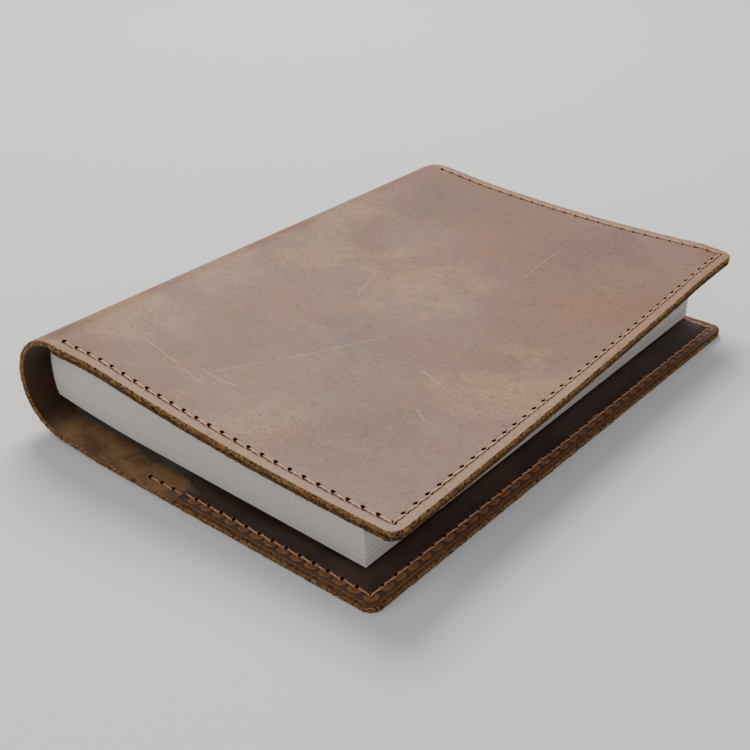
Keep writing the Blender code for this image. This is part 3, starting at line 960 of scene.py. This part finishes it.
def cloud(nodes, where, spots):
    """Soft uneven patches, each (x, y, radius) in sheet millimetres, as a 0 to 1 mask."""
    ragged = nodes.noise(where, 42.0, 5.0, 0.62, 0.8)
    found = None
    for x, y, radius in spots:
        made = nodes.tree.nodes.new("ShaderNodeVectorMath")
        made.operation = "DISTANCE"
        nodes.tree.links.new(where, made.inputs[0])
        made.inputs[1].default_value = (x * MM, y * MM, -HALF_LEATHER * MM)
        radius = radius * MM
        reach = nodes.math("MULTIPLY_ADD", ragged, 5.0 * radius, -2.5 * radius)
        far = nodes.math("ADD", made.outputs["Value"], reach)
        mask = nodes.ramp(far, radius * 0.1, radius * 1.5, 1.0, 0.0)
        found = mask if found is None else nodes.math("MAXIMUM", found, mask)
    return found


def grain_leather():
    """Waxed pull-up leather: cloudy mauve-brown, gold where the wax has moved, and finely grained."""
    n = Nodes("pull_up_leather")
    at = n.field("sheet", True)
    rim = n.field("rim")
    broad = n.noise(at, 15.0, 4.0, 0.55, 0.5)
    smear = n.noise(n.scaled(at, (1.0, 2.0, 1.0), (0, 0, 0.35)), 30.0, 6.0, 0.62, 1.0)
    other = n.noise(n.scaled(at, (1.6, 1.0, 1.0), (0, 0, 0.5), (0.37, 0.21, 0)), 24.0, 5.0, 0.6, 0.8)
    speck = n.noise(n.scaled(at, (1.0, 1.7, 1.0), (0, 0, 0.6)), 1500.0, 4.0, 0.7)
    fine = n.noise(at, 520.0, 4.0, 0.62)
    mauve, brown = (0.240, 0.121, 0.084), (0.212, 0.095, 0.050)
    gold, rust, dusk = (0.325, 0.174, 0.070), (0.262, 0.103, 0.045), (0.150, 0.075, 0.062)
    colour = n.mix(n.ramp(broad, 0.38, 0.62), brown, mauve)
    golden = n.math("MAXIMUM", cloud(n, at, GOLD_SPOTS), n.ramp(smear, 0.57, 0.72, 0.0, 0.75))
    colour = n.tint(colour, golden, 0.64, gold)
    rusty = n.math("MAXIMUM", cloud(n, at, RUST_SPOTS), n.ramp(other, 0.60, 0.74, 0.0, 0.8))
    colour = n.tint(colour, rusty, 0.6, rust)
    dusky = n.math("MAXIMUM", cloud(n, at, DUSK_SPOTS), n.ramp(smear, 0.42, 0.30, 0.0, 0.8))
    colour = n.tint(colour, dusky, 0.64, dusk)
    border = n.math("MULTIPLY", n.ramp(rim, 3.9, 2.6), n.ramp(rim, 0.5, 1.1))
    colour = n.tint(colour, border, 0.55, (0.40, 0.215, 0.115))
    rubbed = n.math("MULTIPLY", n.ramp(rim, 1.05, 0.6), 0.75)
    colour = n.mix(rubbed, colour, (0.47, 0.265, 0.125))
    # Here only wear: where the wax has moved, the grain shows more specks.
    wear_and_sheen = n.math("MULTIPLY_ADD", golden, -0.07, 0.55)
    grainy = n.math("MULTIPLY", n.ramp(n.math("SUBTRACT", speck, wear_and_sheen), 0.0, 0.10), 0.5)
    colour = n.mix(grainy, colour, (0.50, 0.315, 0.165))
    dark_grain = n.math("MULTIPLY", n.ramp(fine, 0.52, 0.68), 0.45)
    colour = n.mix(dark_grain, colour, (0.100, 0.052, 0.042))
    marks = None
    for a, b, width, wobble in SCRATCHES:
        made = scratch(n, at, np.array(a) * MM, np.array(b) * MM, width * MM, wobble * MM)
        marks = made if marks is None else n.math("MAXIMUM", marks, made)
    hair = n.voronoi(n.scaled(at, (1.0, 7.0, 1.0), (0, 0, 0.9)), 60.0, "DISTANCE_TO_EDGE")
    hairline = n.math("MULTIPLY", n.ramp(hair, 0.010, 0.0), n.ramp(n.noise(at, 38.0, 2.0), 0.60, 0.72))
    colour = n.tint(colour, hairline, 0.30, (0.48, 0.30, 0.16))
    colour = n.tint(colour, marks, 0.62, (0.54, 0.345, 0.18))
    cells = n.voronoi(at, 1150.0)
    creases = n.noise(n.scaled(at, (1.0, 2.2, 1.0), (0, 0, 0.7)), 120.0, 5.0, 0.6, 0.4)
    n.bumps((cells, 0.35, 0.00007), (fine, 0.45, 0.00013), (creases, 0.30, 0.00030), (marks, 0.5, 0.00006))
    roughness = n.math("MULTIPLY_ADD", smear, 0.22, 0.40)
    return n.finish(colour, roughness, Specular_IOR_Level=0.34, Sheen_Weight=0.04, Sheen_Roughness=0.5)


def flesh_leather():
    """The suede side, golden brown with a soft nap and darker clouds, and painted shade inside the spine's
    roll.
    """
    n = Nodes("flesh_side")
    at = n.field("sheet", True)
    clouds = n.noise(at, 60.0, 5.0, 0.65, 0.8)
    nap = n.noise(n.scaled(at, (1.0, 2.4, 1.0), (0, 0, 0.3)), 900.0, 4.0, 0.7)
    fibres = n.noise(n.scaled(at, (1.0, 5.0, 1.0), (0, 0, 1.1)), 420.0, 4.0, 0.65, 1.0)
    colour = n.mix(n.ramp(clouds, 0.34, 0.66), (0.105, 0.044, 0.014), (0.300, 0.150, 0.052))
    colour = n.tint(colour, n.ramp(nap, 0.45, 0.7), 0.5, (0.40, 0.215, 0.085))
    colour = n.tint(colour, n.ramp(fibres, 0.52, 0.72), 0.65, (0.070, 0.030, 0.012))
    across = n.tree.nodes.new("ShaderNodeSeparateXYZ")
    n.tree.links.new(at, across.inputs[0])
    from_back = n.ramp(across.outputs[0], -0.036, -0.019)
    painted_roll_shade = n.math("MULTIPLY", from_back, n.ramp(across.outputs[0], 0.040, 0.028))
    # Painted shade: inside the spine's roll the flesh side is darkened almost to black.
    colour = n.tint(colour, painted_roll_shade, 0.85, (0.022, 0.009, 0.004))
    n.bumps((nap, 0.9, 0.00022), (fibres, 0.6, 0.00028))
    return n.finish(colour, 0.92, Specular_IOR_Level=0.12, Sheen_Weight=0.12, Sheen_Roughness=0.6)


def cut_leather(name, light, dark, pits):
    """A raw cut edge: packed golden fibres with dark pits between them."""
    n = Nodes(name)
    at = n.field("sheet", True)
    fibre = n.noise(n.scaled(at, (1.0, 1.0, 1.6)), 1900.0, 4.0, 0.75)
    clump = n.noise(n.scaled(at, (1.0, 1.0, 0.8)), 900.0, 4.0, 0.7, 0.6)
    slow = n.noise(at, 90.0, 2.0, 0.5)
    colour = n.mix(n.ramp(fibre, 0.42, 0.60), dark, light)
    colour = n.tint(colour, n.ramp(clump, 0.50, 0.58), 0.9, pits)
    colour = n.tint(colour, n.ramp(slow, 0.45, 0.7), 0.35, dark)
    n.bumps((fibre, 1.0, 0.0003), (clump, 1.0, 0.0005))
    return n.finish(colour, 0.85, Specular_IOR_Level=0.2)


def hole_shadow():
    n = Nodes("needle_hole")
    at = n.field("sheet", True)
    colour = n.mix(n.ramp(n.noise(at, 1400.0, 2.0), 0.4, 0.6), (0.016, 0.008, 0.006), (0.035, 0.017, 0.010))
    return n.finish(colour, 0.9, Specular_IOR_Level=0.1)


def pocket_leather():
    """Smooth dark lining leather, polished, with rounded orange marks pressed along the seam and a painted
    highlight on its border.
    """
    n = Nodes("pocket_leather")
    at = n.field("sheet", True)
    mark, rim = n.field("mark"), n.field("rim")
    clouds = n.noise(at, 30.0, 4.0, 0.55, 0.5)
    fine = n.noise(at, 1100.0, 3.0, 0.6)
    colour = n.mix(n.ramp(clouds, 0.35, 0.68), (0.034, 0.018, 0.014), (0.066, 0.034, 0.024))
    # Painted highlight: the border outside the seam is made lighter, standing in for the leather's sheen.
    wear_and_sheen = n.math("MULTIPLY", n.ramp(rim, 5.5, 1.0), 0.55)
    colour = n.mix(wear_and_sheen, colour, (0.125, 0.054, 0.028))
    ring = n.math("MULTIPLY", n.ramp(mark, 0.03, 0.40), n.ramp(mark, 0.98, 0.62, 0.62, 1.0))
    patchy = n.ramp(n.noise(at, 620.0, 3.0, 0.6), 0.34, 0.60, 0.5, 1.0)
    colour = n.tint(colour, n.math("MULTIPLY", ring, patchy), 0.95, (0.340, 0.140, 0.048))
    colour = n.tint(colour, n.ramp(rim, 0.95, 0.5), 0.8, (0.36, 0.175, 0.075))
    speck = n.math("MULTIPLY", n.ramp(fine, 0.6, 0.78), 0.28)
    colour = n.mix(speck, colour, (0.17, 0.085, 0.05))
    pores = n.voronoi(at, 1400.0)
    n.bumps((pores, 0.22, 0.00005), (clouds, 0.2, 0.0006), (fine, 0.25, 0.00006))
    roughness = n.math("MULTIPLY_ADD", fine, 0.18, 0.30)
    return n.finish(colour, roughness, Specular_IOR_Level=0.38)


def waxed_thread(name, light, dark):
    n = Nodes(name)
    at = n.field("sheet", True)
    strand = n.noise(n.scaled(at, (1.0, 1.0, 1.6)), 2600.0, 3.0, 0.6)
    slow = n.noise(at, 160.0, 2.0, 0.5)
    colour = n.mix(n.ramp(strand, 0.35, 0.65), dark, light)
    colour = n.tint(colour, n.ramp(slow, 0.42, 0.7), 0.35, dark)
    n.bumps((strand, 0.6, 0.00012))
    return n.finish(colour, 0.55, Specular_IOR_Level=0.35, Sheen_Weight=0.2)


def page_paper():
    """Uncoated page edges, each bundle a slightly different grey-white."""
    n = Nodes("page_edges")
    leaf = n.field("leaf")
    place = n.tree.nodes.new("ShaderNodeTexCoord").outputs["Object"]
    lines = n.noise(n.scaled(place, (0.01, 0.01, 1.0)), 9000.0, 3.0, 0.7)
    slow = n.noise(place, 25.0, 3.0, 0.5)
    fibre = n.noise(place, 1800.0, 2.0, 0.5)
    colour = n.mix(leaf, (0.585, 0.555, 0.510), (0.612, 0.584, 0.542))
    colour = n.tint(colour, n.ramp(lines, 0.50, 0.75), 0.10, (0.45, 0.42, 0.38))
    colour = n.tint(colour, n.ramp(slow, 0.5, 0.75), 0.12, (0.50, 0.46, 0.40))
    n.bumps((lines, 0.25, 0.00006), (fibre, 0.2, 0.00003))
    return n.finish(colour, 0.88, Specular_IOR_Level=0.2)


def grey_card():
    # The cards' near-black brown is partly their own colour and partly painted shade, for the dark strip
    # between the page block and the pocket's mouth.
    n = Nodes("grey_card")
    place = n.tree.nodes.new("ShaderNodeTexCoord").outputs["Object"]
    fleck = n.noise(place, 1300.0, 3.0, 0.65)
    slow = n.noise(place, 40.0, 3.0, 0.5)
    colour = n.mix(n.ramp(slow, 0.35, 0.65), (0.042, 0.030, 0.022), (0.070, 0.050, 0.038))
    colour = n.tint(colour, n.ramp(fleck, 0.55, 0.7), 0.4, (0.15, 0.115, 0.09))
    n.bumps((fleck, 0.4, 0.00008))
    return n.finish(colour, 0.82, Specular_IOR_Level=0.25)


def pale_floor():
    n = Nodes("pale_floor")
    return n.finish((0.80, 0.79, 0.775), 0.7, Specular_IOR_Level=0.2)


# ---------------------------------------------------------------- making it

# The front's main worn lines: from and to sheet points, width and wobble, in millimetres
SCRATCHES = [
    ((49, -86), (86, -91), 0.34, 2.2),
    ((80, -88), (112, -18), 0.36, 2.6),
    ((80, -86), (94, -84), 0.42, 1.6),
    ((146, -55), (153, -60), 0.46, 0.8),
    ((82, -10), (75, 10), 0.38, 1.4),
    ((122, 42), (121, 76), 0.36, 1.6),
    ((132, -35), (148, -40), 0.44, 1.8),
]
# Patches where the wax has moved: sheet x, y and radius in millimetres
GOLD_SPOTS = [
    (47, 0, 17),
    (92, 11, 23),
    (111, 7, 14),
    (117, -89, 16),
    (40, -86, 12),
    (158, -25, 20),
    (31, -72, 18),
    (29, -30, 16),
    (30, 45, 18),
]
RUST_SPOTS = [(64, -29, 12), (85, 60, 14), (150, 35, 12)]
DUSK_SPOTS = [(104, -35, 17), (52, 74, 18), (136, -78, 22), (130, 82, 20)]

GRAIN = grain_leather()
FLESH = flesh_leather()
CUT = cut_leather("cut_edge", (0.470, 0.265, 0.105), (0.150, 0.066, 0.020), (0.020, 0.008, 0.004))
POCKET_EDGE_COLOURS = (0.240, 0.105, 0.035), (0.105, 0.045, 0.018), (0.030, 0.013, 0.007)
POCKET_CUT = cut_leather("pocket_cut_edge", *POCKET_EDGE_COLOURS)
HOLE = hole_shadow()
POCKET = pocket_leather()
TAN_THREAD = waxed_thread("tan_thread", (0.830, 0.525, 0.325), (0.480, 0.235, 0.110))
RUST_THREAD = waxed_thread("rust_thread", (0.720, 0.390, 0.215), (0.340, 0.140, 0.060))
PAPER = page_paper()
CARD_AND_SHADE = grey_card()

front_marks = seam_marks(FRONT_SEAM_START, *FRONT_PITCH)
back_marks = seam_marks(BACK_SEAM_START, *BACK_PITCH)
looks = [GRAIN, FLESH, CUT, HOLE]

front = build_leather("front_leather", 1, front_marks, FRONT_PITCH, looks)
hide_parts("front_cover_panel")
back = build_leather("back_leather", -1, back_marks, BACK_PITCH, looks)
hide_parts("back_cover_panel")
rolls = [build_roll(number, looks) for number in range(1, STRIPS + 2)]
for number, roll in enumerate(rolls[:-1], 1):
    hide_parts(f"spine_strip_{number}")

pocket_looks = [POCKET, FLESH, POCKET_CUT, HOLE]
back_pocket = build_pocket("back_pocket_leather", -1, BACK_POCKET, back_marks, BACK_PITCH, pocket_looks)
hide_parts("back_pocket")
front_pocket = build_pocket("front_pocket_leather", 1, FRONT_POCKET, front_marks, FRONT_PITCH, pocket_looks)
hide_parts("front_pocket")


def grain_level(u, t):
    return np.full(np.shape(u), -1.0 + 0.10)


def sunk_level(u, t):
    """The back's outer stitches lie in their groove, so that they don't lift it off the table."""
    return np.full(np.shape(u), -1.0 + 0.60)


def pocket_level(width):
    mouth = PANEL_WIDTH - width

    def level(u, t):
        return np.where(u > mouth, POCKET_LOW + POCKET_THICK - 0.14, 0.94)

    return level


rows = [
    ("front", "outer", 1, front_marks, grain_level, -1, TAN_THREAD),
    ("back", "outer", -1, back_marks, sunk_level, -1, TAN_THREAD),
    ("front", "inner", 1, front_marks, pocket_level(FRONT_POCKET), 1, RUST_THREAD),
    ("back", "inner", -1, back_marks, pocket_level(BACK_POCKET), 1, RUST_THREAD),
]
for cover, layer, side, marks, level, up, look in rows:
    radius = OUTER_THREAD if look == TAN_THREAD else INNER_THREAD
    made = build_stitches(f"{cover}_{layer}_stitches", side, marks, level, up, radius, [look])
    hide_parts(f"{cover}_seam_{layer}_thread")


def front_card_low(u, t):
    return np.full(np.shape(u), 1.10)


back_card = build_card("notebook_back_cover", -1, 5.8, 143.0, back_card_low, CARD_AND_SHADE)
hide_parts("notebook_back_card")
front_card = build_card("notebook_front_cover", 1, 9.5, 143.0, front_card_low, CARD_AND_SHADE, 0.42)
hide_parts("notebook_front_card")
lower = build_pages("lower_signatures", 1, 5, "back_cover", PAPER)
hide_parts(*[f"signature_{i:02d}" for i in range(1, 6)])
upper = build_pages("upper_signatures", 6, 10, "upper_pages", PAPER)
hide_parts(*[f"signature_{i:02d}" for i in range(6, 11)])
lower_lining = build_lining("lower_spine_lining", -1, "back_cover", CARD_AND_SHADE)
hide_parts("notebook_lower_spine_lining")
upper_lining = build_lining("upper_spine_lining", 1, "upper_pages", CARD_AND_SHADE)
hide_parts("notebook_upper_spine_lining")

# ---------------------------------------------------------------- floor, light and camera

bpy.ops.mesh.primitive_plane_add(size=6.0, location=(0, 0, -0.0002))
floor = bpy.context.object
floor.name = "floor"
floor.data.materials.append(pale_floor())


def soft_light(name, place, aim, size, power, colour=(1, 1, 1)):
    light = bpy.data.lights.new(name, "AREA")
    light.shape = "DISK"
    light.size = size
    light.energy = power
    light.color = colour
    obj = bpy.data.objects.new(name, light)
    bpy.context.scene.collection.objects.link(obj)
    obj.location = place
    obj.rotation_euler = (Vector(aim) - Vector(place)).to_track_quat("-Z", "Y").to_euler()
    return obj


soft_light("window", (-0.60, 0.55, 1.05), (0, 0, 0), 0.8, 17.0, (1.0, 0.98, 0.95))
soft_light("fill", (0.9, -0.7, 0.9), (0, 0, 0.02), 1.2, 6.0, (0.95, 0.97, 1.0))
soft_light("front_fill", (-0.5, -0.9, 0.5), (0, 0, 0.02), 1.0, 2.4)
world = bpy.data.worlds.new("studio")
world.use_nodes = True
world.node_tree.nodes["Background"].inputs["Color"].default_value = (0.93, 0.95, 1.0, 1.0)
world.node_tree.nodes["Background"].inputs["Strength"].default_value = 0.34
bpy.context.scene.world = world

camera_data = bpy.data.cameras.new("camera")
camera = bpy.data.objects.new("camera", camera_data)
bpy.context.scene.collection.objects.link(camera)
bpy.context.scene.camera = camera
camera_data.sensor_width = 36.0
camera_data.lens = 55.19
camera_data.shift_x = -0.1085
camera_data.shift_y = -0.0096
camera_data.clip_start = 0.01
camera.location = (0.2520, -0.2997, 0.2269)
camera.rotation_euler = (math.radians(90 - 29.76), 0.0, math.radians(36.99))
